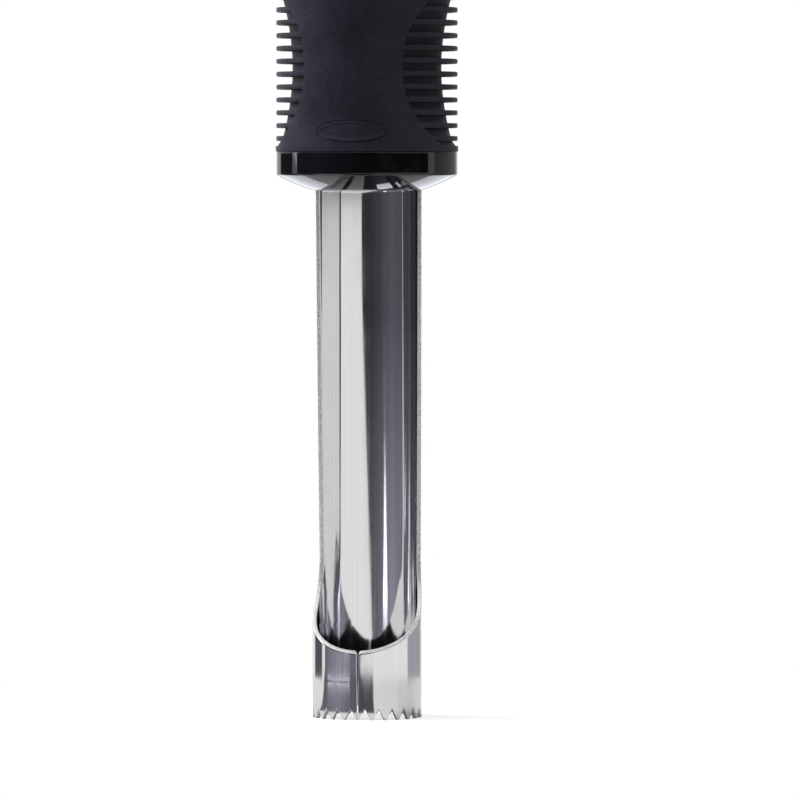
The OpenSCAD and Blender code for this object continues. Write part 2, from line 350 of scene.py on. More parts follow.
# %% The blank
count = len(outer)
faces = [quad[::-1] for quad in quads]
faces += [tuple(v + count for v in quad) for quad in quads]
faces += [(a, b, b + count, a + count) for a, b in cut]
flat = [(math.radians(a) * ROLL_R, TUBE_R - BORE_R, z) for a, z in outer]
flat += [(math.radians(a) * ROLL_R, wave(a, z), z) for a, z in inner]
blank = bpy.data.meshes.new("blade_blank")
blank.from_pydata([tuple(c * MM for c in point) for point in flat], [], faces)
marks = blank.attributes.new("cut_edge", "BOOLEAN", "FACE")
marks.data.foreach_set("value", [i >= 2 * len(quads) for i in range(len(faces))])
print("blank: %d points, %d faces" % (len(flat), len(faces)))

# %% [markdown]
# ## Rolling the blank
# A roll is a rule: arc length becomes an angle, and depth in the sheet becomes a radius. That
# suits Geometry Nodes, where the tree below reads each point's place and bends it round the
# axis. Its inputs are the roll's two radii, so another tube needs only other numbers. A small
# bevel then rounds the cut edges, as deburring does.

# %% The rolling tree
def new_tree(name, sizes):
    """An empty Geometry Nodes tree with named sizes, and each size's identifier."""
    tree = bpy.data.node_groups.new(name, "GeometryNodeTree")
    tree.interface.new_socket("Geometry", in_out="INPUT", socket_type="NodeSocketGeometry")
    tree.interface.new_socket("Geometry", in_out="OUTPUT", socket_type="NodeSocketGeometry")
    keys = {}
    for size, kind in sizes.items():
        socket = tree.interface.new_socket(size, in_out="INPUT", socket_type=kind)
        keys[size] = socket.identifier
    return tree, keys, add(tree, "NodeGroupInput")


def made_by(tree, keys, values, mesh, name, finishing=None):
    """Runs a tree on a mesh, and returns the result as a plain object with no modifiers."""
    work = placed(name + "_work", mesh)
    modifier = work.modifiers.new(tree.name, "NODES")
    modifier.node_group = tree
    for size, value in values.items():
        modifier[keys[size]] = value
    if finishing:
        finishing(work)
    graph = bpy.context.evaluated_depsgraph_get()
    plain = bpy.data.meshes.new_from_object(work.evaluated_get(graph))
    work.modifiers.clear()
    bpy.data.objects.remove(work)
    plain.name = name
    return placed(name, plain)


roll, roll_keys, given = new_tree("roll_blank", {
    "Roll radius": "NodeSocketFloat", "Bore radius": "NodeSocketFloat"})
spot = add(roll, "ShaderNodeSeparateXYZ", {"Vector": add(roll, "GeometryNodeInputPosition")})
turn = add(roll, "ShaderNodeMath", {
    0: spot.outputs["X"], 1: given.outputs["Roll radius"]}, operation="DIVIDE")
reach = add(roll, "ShaderNodeMath", {
    0: spot.outputs["Y"], 1: given.outputs["Bore radius"]}, operation="ADD")
sine = add(roll, "ShaderNodeMath", {0: turn}, operation="SINE")
cosine = add(roll, "ShaderNodeMath", {0: turn}, operation="COSINE")
across = add(roll, "ShaderNodeMath", {0: reach, 1: sine}, operation="MULTIPLY")
behind = add(roll, "ShaderNodeMath", {0: reach, 1: cosine}, operation="MULTIPLY")
rolled = add(roll, "ShaderNodeCombineXYZ", {
    "X": across, "Y": behind, "Z": spot.outputs["Z"]})
bent = add(roll, "GeometryNodeSetPosition", {
    "Geometry": given.outputs["Geometry"], "Position": rolled})
real = add(roll, "GeometryNodeRealizeInstances", {"Geometry": bent})
walls = add(roll, "GeometryNodeSetMaterial", {"Geometry": real, "Material": polished_steel})
is_cut = add(roll, "GeometryNodeInputNamedAttribute", {"Name": "cut_edge"}, data_type="BOOLEAN")
edges = add(roll, "GeometryNodeSetMaterial", {
    "Geometry": walls, "Selection": is_cut.outputs["Attribute"], "Material": edge_steel})
add(roll, "NodeGroupOutput", {"Geometry": edges})
print("rolling tree:", len(roll.nodes), "nodes")

# %% The rolled blade
DEBURR = 0.13
SHARP_SHARE = 0.3
TEETH_END = 1.5 * TOOTH_H
BLADE_CREASE = 35


def mark_soft_edges(mesh):
    """Marks the cut edges for the bevel: full along the trough and scoop, slight at the teeth."""
    form = bmesh.new()
    form.from_mesh(mesh)
    weight = form.edges.layers.float.new("bevel_weight_edge")
    cut_mark = form.faces.layers.bool.get("cut_edge")
    for edge in form.edges:
        sides = [face[cut_mark] for face in edge.link_faces]
        low = min(v.co.z for v in edge.verts)
        if sides.count(True) == 1:
            edge[weight] = 1.0 if low > TEETH_END * MM else SHARP_SHARE
    form.to_mesh(mesh)
    form.free()


def deburr(work):
    """Rounds the marked edges a little."""
    bevel = work.modifiers.new("deburr", "BEVEL")
    bevel.width = DEBURR * MM
    bevel.segments = 3
    bevel.limit_method = "WEIGHT"
    bevel.use_clamp_overlap = False


def smooth_piece(item, sharp_degrees):
    """Smooth shading, with a crease only where faces meet at more than an angle."""
    item.data.shade_smooth()
    item.data.set_sharp_from_angle(angle=math.radians(sharp_degrees))


mark_soft_edges(blank)
blade = made_by(roll, roll_keys, {"Roll radius": ROLL_R * MM, "Bore radius": BORE_R * MM},
                blank, "rolled_blade", deburr)
smooth_piece(blade, BLADE_CREASE)
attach(blade, "root")
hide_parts("corer_blade")
print("blade:", len(blade.data.polygons), "faces,", [m.name for m in blade.data.materials])

# %% [markdown]
# ## Gloss ABS
# The ferrule is moulded in black ABS against a polished tool, so it is close to a black mirror.
# Its colour is nearly all reflection. What gives moulded gloss away is a very slight waviness,
# here a bump from a 6 mm noise, and a little haze where fingers have rubbed it.

# %% The plastic of the ferrule
SWELL_SIZE = 6 * MM
RUB_SIZE = 2.5 * MM
gloss_abs, tree, shader, place = finish_of("gloss_moulded_abs")
waves = add(tree, "ShaderNodeTexNoise", {"Vector": place, "Scale": 1 / SWELL_SIZE, "Detail": 1.0})
rubs = add(tree, "ShaderNodeTexNoise", {"Vector": place, "Scale": 1 / RUB_SIZE, "Detail": 6.0})
haze = add(tree, "ShaderNodeMapRange", {
    "Value": rubs, "From Min": 0.35, "From Max": 0.7, "To Min": 0.02, "To Max": 0.06})
swell = add(tree, "ShaderNodeBump", {"Height": waves, "Strength": 0.08, "Distance": 0.05 * MM})
tint = add(tree, "ShaderNodeValToRGB", {"Fac": rubs})
tint.color_ramp.elements[0].color = linear("#060508")
tint.color_ramp.elements[1].color = linear("#0c0b0f")
wire(tree, shader, {"Base Color": tint, "Roughness": haze, "Normal": swell, "IOR": 1.53})
print("made", gloss_abs.name)

# %% [markdown]
# ## The ferrule
# The ferrule is a turned shape: a straight band, a soft edge, and a domed underside that meets
# the tube. Only the curved slot for the blade breaks the turning. A boolean would leave long
# thin faces in the dome, and a black mirror shows each of them, so the ferrule is turned as a
# net of rings whose columns already lie along the slot's ends, and the slot is left open in it.

# %% Rings of the ferrule
GRIP_R = 17.2
FERRULE_R = 17.05
FERRULE_WALL = 2.6
FIT_GAP = 0.1
DOME_R = 35.0
DOME_SAG = 0.5
BAND_ROUND = 0.5
RIM_ROUND = 0.25
BAND_HEM = 0.06
SLOT_GAP = 0.1
PLUG_GAP = 0.25
POLE_R = 0.4
IN_ROWS = 12
OUT_ROWS = 16
EDGE_ROWS = 9
RIM_ROWS = 5
POCKET_R = FERRULE_R - FERRULE_WALL + FIT_GAP
DOME_MID = BLADE_LEN + math.sqrt(DOME_R ** 2 - TUBE_R ** 2)
BAND_Z = DOME_MID - math.sqrt((DOME_R - BAND_ROUND) ** 2 - (FERRULE_R - BAND_ROUND) ** 2)
SLOT_IN = BORE_R - PLUG_GAP
SLOT_OUT = TUBE_R + SLOT_GAP
dome_turn = math.asin((FERRULE_R - BAND_ROUND) / (DOME_R - BAND_ROUND))
dome_start = math.asin(SLOT_OUT / DOME_R)


def sag_height(radius):
    """The height of the shallow inner dome, inside the trough."""
    return BLADE_LEN - DOME_SAG * (1 - (radius / TUBE_R) ** 2)


under_in = [(r, sag_height(r)) for r in np.linspace(POLE_R, SLOT_IN, IN_ROWS)]
under_out = [(DOME_R * math.sin(a), DOME_MID - DOME_R * math.cos(a))
             for a in np.linspace(dome_start, dome_turn, OUT_ROWS)]
edge_round = [(FERRULE_R - BAND_ROUND * (1 - math.sin(a)), BAND_Z - BAND_ROUND * math.cos(a))
              for a in np.linspace(dome_turn, math.pi / 2, EDGE_ROWS)[1:]]
band = [(FERRULE_R, z) for z in (BAND_Z + BAND_HEM, grip_low - RIM_ROUND - BAND_HEM,
                                 grip_low - RIM_ROUND)]
rim = [(FERRULE_R - RIM_ROUND * (1 - math.cos(a)), grip_low - RIM_ROUND * (1 - math.sin(a)))
       for a in np.linspace(0, math.pi / 2, RIM_ROWS)[1:]]
pocket = [(POCKET_R, grip_low), (POCKET_R, SHOULDER_Z), (SLOT_OUT, SHOULDER_Z)]
floor_in = [(SLOT_IN, SHOULDER_Z), (POLE_R, SHOULDER_Z)]
rings = under_in + under_out + edge_round + band + rim + pocket + floor_in
slot_low = len(under_in) - 1
slot_high = len(rings) - len(floor_in) - 1
print("ferrule: %d rings, band from %.2f mm" % (len(rings), BAND_Z))

# %% Faces of the ferrule
SLOT_COLUMNS = 96
OPEN_COLUMNS = 112
slot_turn = math.acos((EDGE_TOP - SLOT_GAP) / TUBE_R)
turns = list(np.linspace(-slot_turn, slot_turn, SLOT_COLUMNS + 1)[:-1])
turns += list(np.linspace(slot_turn, 2 * math.pi - slot_turn, OPEN_COLUMNS + 1)[:-1])
sides = len(turns)
points = [(r * math.sin(a), r * math.cos(a), z) for r, z in rings for a in turns]
points += [(0, 0, rings[0][1]), (0, 0, SHOULDER_Z)]
low_pole = len(points) - 2
high_pole = len(points) - 1


def closed_row(number, wide):
    """The numbers of a closed row's points, with the first one again at its end."""
    row = [number * wide + j for j in range(wide)]
    return row + row[:1]


rows = [closed_row(i, sides) for i in range(len(rings))]
faces = []
for i in range(len(rows) - 1):
    first = SLOT_COLUMNS if i in (slot_low, slot_high) else 0
    faces += strip(rows[i][first:], rows[i + 1][first:])
for j in range(sides):
    faces.append((rows[0][j], low_pole, rows[0][j + 1]))
    faces.append((rows[-1][j], rows[-1][j + 1], high_pole))
in_low, out_low = [row[:SLOT_COLUMNS + 1] for row in rows[slot_low:slot_low + 2]]
out_high, in_high = [row[:SLOT_COLUMNS + 1] for row in rows[slot_high:slot_high + 2]]
faces += strip(in_low, in_high)
faces += strip(out_high, out_low)
faces += [(in_low[j], out_low[j], out_high[j], in_high[j]) for j in (0, SLOT_COLUMNS)]
print("faces of the ferrule:", len(faces))

# %% The turned ferrule
MERGE = 0.002
FERRULE_CREASE = 40


def closed_piece(name, points, faces, material, sharp_degrees):
    """A mesh from points in millimetres: doubles merged, faces turned outwards, smoothed."""
    mesh = bpy.data.meshes.new(name)
    mesh.from_pydata([tuple(float(c) * MM for c in point) for point in points], [], faces)
    form = bmesh.new()
    form.from_mesh(mesh)
    bmesh.ops.remove_doubles(form, verts=form.verts, dist=MERGE * MM)
    bmesh.ops.recalc_face_normals(form, faces=form.faces)
    open_edges = sum(1 for edge in form.edges if len(edge.link_faces) != 2)
    form.to_mesh(mesh)
    form.free()
    mesh.materials.append(material)
    item = placed(name, mesh)
    smooth_piece(item, sharp_degrees)
    print("%s: %d faces, %d open edges" % (name, len(mesh.polygons), open_edges))
    return item


ferrule = closed_piece("gloss_ferrule", points, faces, gloss_abs, FERRULE_CREASE)
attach(ferrule, "root")
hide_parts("ferrule")

# %% [markdown]
# ## Moulded elastomer
# The grip is a soft thermoplastic elastomer, moulded in a spark-eroded tool that leaves a fine
# matt grain. It is a blue-black rather than black, it mirrors less than a hard plastic does, and
# it brightens at a grazing angle, which a little sheen gives. The grain is about 0.1 mm in life
# and is drawn at 0.35 mm so that it shows. A wide noise lightens it in patches, as handled
# rubber does, and the grain itself is dusted a little lighter.

# %% The elastomer of the grip
SPARK_SIZE = 0.35 * MM
BLOOM_SIZE = 7 * MM
elastomer, tree, shader, place = finish_of("moulded_elastomer")
spark = add(tree, "ShaderNodeTexNoise", {
    "Vector": place, "Scale": 1 / SPARK_SIZE, "Detail": 2.0, "Roughness": 0.6})
bloom = add(tree, "ShaderNodeTexNoise", {"Vector": place, "Scale": 1 / BLOOM_SIZE, "Detail": 5.0})
dust = add(tree, "ShaderNodeMath", {0: bloom, 1: spark}, operation="MULTIPLY")
shade = add(tree, "ShaderNodeValToRGB", {"Fac": dust})
shade.color_ramp.elements[0].position = 0.14
shade.color_ramp.elements[0].color = linear("#15131c")
shade.color_ramp.elements[1].position = 0.38
shade.color_ramp.elements[1].color = linear("#272532")
matt = add(tree, "ShaderNodeMapRange", {"Value": bloom, "To Min": 0.46, "To Max": 0.6})
skin = add(tree, "ShaderNodeBump", {"Height": spark, "Strength": 0.4, "Distance": 0.05 * MM})
wire(tree, shader, {
    "Base Color": shade, "Roughness": matt, "Normal": skin, "IOR": 1.5,
    "Specular IOR Level": 0.22, "Sheen Weight": 0.09, "Sheen Roughness": 0.4})
print("made", elastomer.name)

# %% [markdown]
# ## The form of the grip
# The grip is round where the fingers hold it and flattens towards its butt, which a hang hole
# crosses. Its net has columns round the axis and rows along it. On each side, two fields of the
# net are opened: the window of the fins, low down, and the mouth of the hang hole, near the
# butt. In such a field the net runs round the opening in loops instead, which keeps the rim a
# clean curve and lets it be rounded loop by loop.

# %% Surface of the grip
GRIP_LEN = grip_high - grip_low
ROUND_H = 36.0
LOW_ROUND = 0.25
BUTT_W = 22.0
BUTT_D = 31.0
BUTT_ROUND = 15.0


def form_point(turn, h, inset=0.0):
    """A point of the grip's skin at an angle from +X and a height above its lower edge."""
    share = min(1.0, max(0.0, (h - ROUND_H) / (GRIP_LEN - BUTT_ROUND - ROUND_H)))
    share = share * share * (3 - 2 * share)
    over = max(0.0, (h - GRIP_LEN + BUTT_ROUND) / BUTT_ROUND)
    shrink = math.sqrt(max(0.0, 1 - over * over))
    half_w = (GRIP_R + (BUTT_W / 2 - GRIP_R) * share) * shrink - inset
    half_d = (GRIP_R + (BUTT_D / 2 - GRIP_R) * share) * shrink - inset
    return half_w * math.cos(turn), half_d * math.sin(turn), h


SIDE_TURN = math.radians(64)
SIDE_COLUMNS = 28
FACE_COLUMNS = 20
side_turns = list(np.linspace(-SIDE_TURN, SIDE_TURN, SIDE_COLUMNS + 1))
back_turns = list(np.linspace(SIDE_TURN, math.pi - SIDE_TURN, FACE_COLUMNS + 1))
front_turns = [t + math.pi for t in back_turns]
print("the grip is %.2f mm long" % GRIP_LEN)

# %% Fields of the net: plain rows, and loops round an opening
net_points = []
net_faces = []


def put_rows(rows, closed=False):
    """Adds rows of points, joined by quads, and returns the numbers of the last row's points."""
    below = []
    for row in rows:
        numbers = list(range(len(net_points), len(net_points) + len(row)))
        net_points.extend(row)
        if closed:
            numbers.append(numbers[0])
        if below:
            net_faces.extend(strip(below, numbers))
        below = numbers
    return below


def put_loops(loops, pole=None):
    """Adds closed loops of points, and ends them in a pole where one is given."""
    last = put_rows(loops, closed=True)
    if pole is not None:
        net_points.append(pole)
        net_faces.extend((a, b, len(net_points) - 1) for a, b in zip(last, last[1:]))


def field_edge(turns, heights):
    """The border of a field, as (angle, height), once round from its first lower corner."""
    border = [(t, heights[0]) for t in turns[:-1]]
    border += [(turns[-1], h) for h in heights[:-1]]
    border += [(t, heights[-1]) for t in turns[:0:-1]]
    border += [(turns[0], h) for h in heights[:0:-1]]
    return border


def mirrored(loops, flip):
    """Loops of the right side as they are, or of the left side where flip is -1."""
    return [[(flip * x, y, z) for x, y, z in loop] for loop in loops]


print("a field has", len(field_edge(side_turns, range(10))), "border points at ten heights")

# %% [markdown]
# ## The windows of the fins
# Each side of the grip has a window: a hollow with a squarish oval outline, whose floor follows
# the grip at a depth and rises towards the window's ends. The outline is a superellipse, cut
# straight at the lower lip. The loops run from the field's border to the outline, over a rounded
# rim, down a wall that lies along the mould's pull, and across the floor to its middle.

# %% Outline and floor of a window
WINDOW_MID = 15.75
WINDOW_HALF_H = 15.6
WINDOW_HALF_D = 14.4
WINDOW_POWER = 2.5
WINDOW_ROWS = 46
LIP_H = 1.1
FIN_DEPTH = 3.2
HOLLOW_R = 49.0
window_heights = list(np.linspace(LOW_ROUND, ROUND_H, WINDOW_ROWS))


def outline_point(turn, h):
    """The window's outline, as (breadth, height), on the ray to a point of the border."""
    across = GRIP_R * math.sin(turn)
    up = h - WINDOW_MID
    size = abs(across / WINDOW_HALF_D) ** WINDOW_POWER + abs(up / WINDOW_HALF_H) ** WINDOW_POWER
    scale = size ** (-1 / WINDOW_POWER)
    if WINDOW_MID + up * scale < LIP_H:
        scale = (LIP_H - WINDOW_MID) / up
    return across * scale, WINDOW_MID + up * scale


def floor_x(y, h):
    """The hollow's floor: the grip's round, moved in by the fins' depth and arched along it."""
    arch = GRIP_R + HOLLOW_R - math.sqrt(HOLLOW_R ** 2 - (h - WINDOW_MID) ** 2)
    return math.sqrt(arch ** 2 - y ** 2) - FIN_DEPTH


print("the floor lies %.2f mm from the axis" % floor_x(0, WINDOW_MID))

# %% Loops of a window
RIM_SOFT = 0.3
FIELD_SHARES = (0, 0.2, 0.4, 0.58, 0.74, 0.87, 1)
RIM_SHARES = (0.12, 0.44, 1)
WALL_SHARES = (0.35, 0.7, 1)
FLOOR_SHARES = (0.97, 0.9, 0.75, 0.55, 0.35, 0.15)


def window_loops():
    """Loops from the border to the outline, over the rim, down the wall and across the floor."""
    border = field_edge(side_turns, window_heights)
    outline = [outline_point(*spot) for spot in border]
    skin = [math.sqrt(GRIP_R ** 2 - y * y) for y, g in outline]
    loops = []
    for share in FIELD_SHARES:
        loop = []
        for (turn, h), (y, g) in zip(border, outline):
            away = math.hypot(turn - math.asin(y / GRIP_R), (h - g) / GRIP_R) * GRIP_R
            reach = share * max(0.0, 1 - RIM_SOFT / away)
            t = turn + (math.asin(y / GRIP_R) - turn) * reach
            loop.append(form_point(t, h + (g - h) * reach))
        loops.append(loop)
    for share in RIM_SHARES:
        loops.append([(x - share * RIM_SOFT, y, g) for x, (y, g) in zip(skin, outline)])
    for share in WALL_SHARES:
        loop = []
        for x, (y, g) in zip(skin, outline):
            top = x - RIM_SOFT
            loop.append((top + (floor_x(y, g) - top) * share, y, g))
        loops.append(loop)
    for share in FLOOR_SHARES:
        spots = [(y * share, WINDOW_MID + (g - WINDOW_MID) * share) for y, g in outline]
        loops.append([(floor_x(y, g), y, g) for y, g in spots])
    return loops


right_window = window_loops()
for flip in (1, -1):
    put_loops(mirrored(right_window, flip), (flip * floor_x(0, WINDOW_MID), 0, WINDOW_MID))
put_rows([[form_point(t, h) for t in back_turns] for h in window_heights])
print("windows: %d points" % len(net_points))

# %% [markdown]
# ## The bare oval pad
# Between the windows, the front of the grip carries a low oval pad, which stays bare here. A fine
# groove parts it from the grip. Its face leans, sunk at the upper edge and proud at the lower one,
# and a thin lip runs round it and catches the light. A pad that was only painted by a bump would
# vanish in a side view, so it is moulded into the net: loops run from the field's border to the
# groove, over the lip and across the face to its middle.

# %% Loops of the pad
PAD_W = 13.4
PAD_H = 4.0
PAD_MID = 3.8
PAD_ROWS = 12
PAD_LIFT = 0.06
PAD_LEAN = 0.1
AROUND_SHARES = (0, 0.35, 0.65, 0.88)
FACE_SHARES = (0.75, 0.5, 0.25)
groove = ((0.3, 0.0), (0.12, 0.0), (0.05, -0.04), (0.0, -0.16), (-0.08, -0.16))
lip = ((-0.12, 0.0), (-0.2, 0.09), (-0.3, 0.12), (-0.42, 0.09), (-0.56, 0.0))


def pad_point(ray, offset, lift, leans, share=1.0):
    """A point of the pad's oval, widened by an offset, and lifted off the grip's skin."""
    x = (PAD_W / 2 + offset) * share * math.cos(ray)
    up = (PAD_H / 2 + offset) * share * math.sin(ray)
    radius = GRIP_R + lift + leans * (PAD_LIFT - PAD_LEAN * up / (PAD_H / 2))
    return x, -math.sqrt(radius ** 2 - x * x), PAD_MID + up


def pad_loops():
    """Loops from the border to the groove, over the lip and across the face."""
    border = field_edge(front_turns, window_heights[:PAD_ROWS])
    rays = [math.atan2((h - PAD_MID) / PAD_H, GRIP_R * math.cos(t) / PAD_W) for t, h in border]
    edge = [pad_point(ray, *groove[0], 0) for ray in rays]
    loops = []
    for share in AROUND_SHARES:
        loop = []
        for (turn, h), (x, y, g) in zip(border, edge):
            t = turn + (math.atan2(y, x) + 2 * math.pi - turn) * share
            loop.append(form_point(t, h + (g - h) * share))
        loops.append(loop)
    for leans, profile in ((0, groove), (1, lip)):
        loops += [[pad_point(ray, *step, leans) for ray in rays] for step in profile]
    for share in FACE_SHARES:
        loops.append([pad_point(ray, lip[-1][0], 0, 1, share) for ray in rays])
    return loops


put_loops(pad_loops(), pad_point(0, 0, 0, 1, 0))
put_rows([[form_point(t, h) for t in front_turns] for h in window_heights[PAD_ROWS - 1:]])
print("with the pad: %d points" % len(net_points))

# %% [markdown]
# ## The hang hole and the plain fields
# The hang hole runs straight through the butt, with flared mouths that a peg slides into. Its
# field is looped as a window's is, over a rounded mouth and down the bore to the middle of the
# grip, where the two sides meet. The rest of the grip is plain rows, closed at the butt.

# %% Loops of the hang hole
HANG_R = 5.0
HANG_DROP = 17.0
HANG_H = GRIP_LEN - HANG_DROP
HANG_BEVEL = 1.6
HANG_SOFT = 0.5
HANG_FIELD = 9.5
HANG_ROWS = 21
BORE_DEEP = 5.0
MOUTH_R = HANG_R + HANG_BEVEL + HANG_SOFT
MOUTH_SHARES = (0, 0.25, 0.48, 0.68, 0.85, 1)
MOUTH_STEPS = 8
hang_heights = list(np.linspace(HANG_H - HANG_FIELD, HANG_H + HANG_FIELD, HANG_ROWS))


def skin_x(y, h):
    """How far out the grip's side lies at a place seen along X."""
    half_w = form_point(0, h)[0]
    half_d = form_point(math.pi / 2, h)[1]
    return half_w * math.sqrt(max(0.0, 1 - (y / half_d) ** 2))


def hang_spot(ray, radius):
    """A place round the hole, as (breadth, height)."""
    return radius * math.cos(ray), HANG_H + radius * math.sin(ray)


def hang_loops():
    """Loops from the border to the mouth, over its flare and down the bore to the middle."""
    border = [form_point(*spot) for spot in field_edge(side_turns, hang_heights)]
    rays = [math.atan2(z - HANG_H, y) for x, y, z in border]
    loops = []
    for share in MOUTH_SHARES:
        loop = []
        for (x, y, z), ray in zip(border, rays):
            far = math.hypot(y, z - HANG_H)
            spot = hang_spot(ray, far + (MOUTH_R - far) * share)
            loop.append((skin_x(*spot) if share else x, *spot))
        loops.append(loop)
    for a in np.linspace(0, math.pi / 2, MOUTH_STEPS + 1)[1:]:
        radius = HANG_R + (MOUTH_R - HANG_R) * (1 - math.sin(a))
        sink = HANG_BEVEL * (1 - math.cos(a))
        loops.append([(skin_x(*hang_spot(ray, MOUTH_R)) - sink, *hang_spot(ray, radius))
                      for ray in rays])
    loops += [[(x, *hang_spot(ray, HANG_R)) for ray in rays] for x in (BORE_DEEP, 0.0)]
    return loops


hang_field = hang_loops()
print("loops of the hang hole:", len(hang_field))

# %% The rows above the windows
TAPER_ROWS = 31
END_STEPS = 10
for flip, turns in ((1, back_turns), (-1, front_turns)):
    put_loops(mirrored(hang_field, flip))
    put_rows([[form_point(t, h) for t in turns] for h in hang_heights])
around = side_turns[:-1] + back_turns[:-1]
around += [t + math.pi for t in around]
taper_heights = np.linspace(ROUND_H, hang_heights[0], TAPER_ROWS)
put_loops([[form_point(t, h) for t in around] for h in taper_heights])
end_start = math.asin((hang_heights[-1] - GRIP_LEN + BUTT_ROUND) / BUTT_ROUND)
end_heights = [GRIP_LEN - BUTT_ROUND * (1 - math.sin(a))
               for a in np.linspace(end_start, math.pi / 2, END_STEPS + 1)[:-1]]
put_loops([[form_point(t, h) for t in around] for h in end_heights], (0, 0, GRIP_LEN))
print("grip so far: %d points" % len(net_points))

# %% [markdown]
# ## Inside the grip
# The grip is hollow over the barbed core that carries it. The hollow doesn't show, but it makes
# the grip a true moulding: a closed skin of a known wall, which can be sliced or weighed.

# %% The hollow, and the finished grip
CORE_R = 12.2
CORE_STEP_Z = 146.0
CORE_STEP = CORE_STEP_Z - grip_low
STALK_R = 7.6
BARB_H = 1.2
BARB_LEN = 5.0
BARB_COUNT = 4
HANG_WALL = 5.0
LOW_ROWS = 5
GRIP_CREASE = 50
CORE_TOP = HANG_H - HANG_R - HANG_BEVEL - HANG_WALL + FIT_GAP
barb_room = (CORE_TOP - CORE_STEP) / BARB_COUNT
hollow = [(CORE_R, 0.0), (CORE_R, CORE_STEP), (STALK_R, CORE_STEP)]
for i in range(BARB_COUNT):
    barb_z = CORE_STEP + barb_room * (i + 0.5)
    hollow += [(STALK_R, barb_z), (STALK_R + BARB_H, barb_z), (STALK_R, barb_z + BARB_LEN)]
hollow.append((STALK_R, CORE_TOP))
low_edge = [(LOW_ROUND * (1 - math.cos(a)), LOW_ROUND * (1 - math.sin(a)))
            for a in np.linspace(math.pi / 2, 0, LOW_ROWS)]
edge_loops = [[form_point(t, h, inset) for t in around] for h, inset in low_edge]
hollow_loops = [[(r * math.cos(t), r * math.sin(t), h) for t in around] for r, h in hollow]
put_loops(edge_loops + hollow_loops, (0, 0, CORE_TOP))

raised = [(x, y, z + grip_low) for x, y, z in net_points]
grip = closed_piece("soft_grip", raised, net_faces, elastomer, GRIP_CREASE)
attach(grip, "root")
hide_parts("grip_sleeve")

# %% [markdown]
# ## The fins
# Thin fins fill each window, so that the grip gives under a finger. They are one shape repeated
# at a pitch, each trimmed by the window and rooted in the floor, which is work for Geometry
# Nodes: a straight bar is instanced along a line of points, and then every point is moved by the
# same rule that shapes the window. Across the bar, -1 to 1 is the window's breadth; from 0 to 1,
# its depth runs from the floor to the skin.

# %% The bar of one fin
FIN_T = 0.95
FIN_STATIONS = 41
fin_side = [(-0.12, -0.53), (0.4, -0.5), (0.8, -0.48), (0.93, -0.47), (0.965, -0.43),
            (0.988, -0.33), (1.0, -0.16)]
fin_section = fin_side + [(u, -v) for u, v in fin_side[::-1]]
bar_points = [(u, s, v * FIN_T * MM)
              for s in np.linspace(-1, 1, FIN_STATIONS) for u, v in fin_section]
sections = [closed_row(i, len(fin_section)) for i in range(FIN_STATIONS)]
bar_faces = [quad for low, high in zip(sections, sections[1:]) for quad in strip(low, high)]
bar_faces += [sections[0][-2::-1], sections[-1][:-1]]
bar = bpy.data.meshes.new("fin_bar")
bar.from_pydata(bar_points, [], bar_faces)
bar_form = bmesh.new()
bar_form.from_mesh(bar)
bmesh.ops.recalc_face_normals(bar_form, faces=bar_form.faces)
bar_form.to_mesh(bar)
bar_form.free()
print("one bar:", len(bar_faces), "faces")

# %% The tree's inputs, and its ladder of fins
FIN_COUNT = 12
FIN_FIRST = 2.5
FIN_PITCH = 2.42
FIN_INSET = 0.12
FIN_BURY = 0.35
fin_lengths = {
    "First": FIN_FIRST, "Pitch": FIN_PITCH, "Grip radius": GRIP_R, "Depth": FIN_DEPTH,
    "Hollow radius": HOLLOW_R, "Window middle": WINDOW_MID, "Half height": WINDOW_HALF_H,
    "Half breadth": WINDOW_HALF_D, "Base": grip_low, "Tip inset": FIN_INSET, "Bury": FIN_BURY}
fins, fin_keys, given = new_tree("window_fins", {
    "Count": "NodeSocketInt", "Power": "NodeSocketFloat",
    **dict.fromkeys(fin_lengths, "NodeSocketFloat")})
start = add(fins, "ShaderNodeCombineXYZ", {"Z": given.outputs["First"]})
step = add(fins, "ShaderNodeCombineXYZ", {"Z": given.outputs["Pitch"]})
ladder = add(fins, "GeometryNodeMeshLine", {
    "Count": given.outputs["Count"], "Start Location": start, "Offset": step}, mode="OFFSET")
spot = add(fins, "ShaderNodeSeparateXYZ", {"Vector": add(fins, "GeometryNodeInputPosition")})
noted = add(fins, "GeometryNodeStoreNamedAttribute", {
    "Geometry": ladder, "Name": "fin_height", "Value": spot.outputs["Z"]},
    data_type="FLOAT", domain="POINT")
copies = add(fins, "GeometryNodeInstanceOnPoints", {
    "Points": noted, "Instance": given.outputs["Geometry"]})
real = add(fins, "GeometryNodeRealizeInstances", {"Geometry": copies})
print("the ladder has %d fins, %.2f mm apart" % (FIN_COUNT, FIN_PITCH))

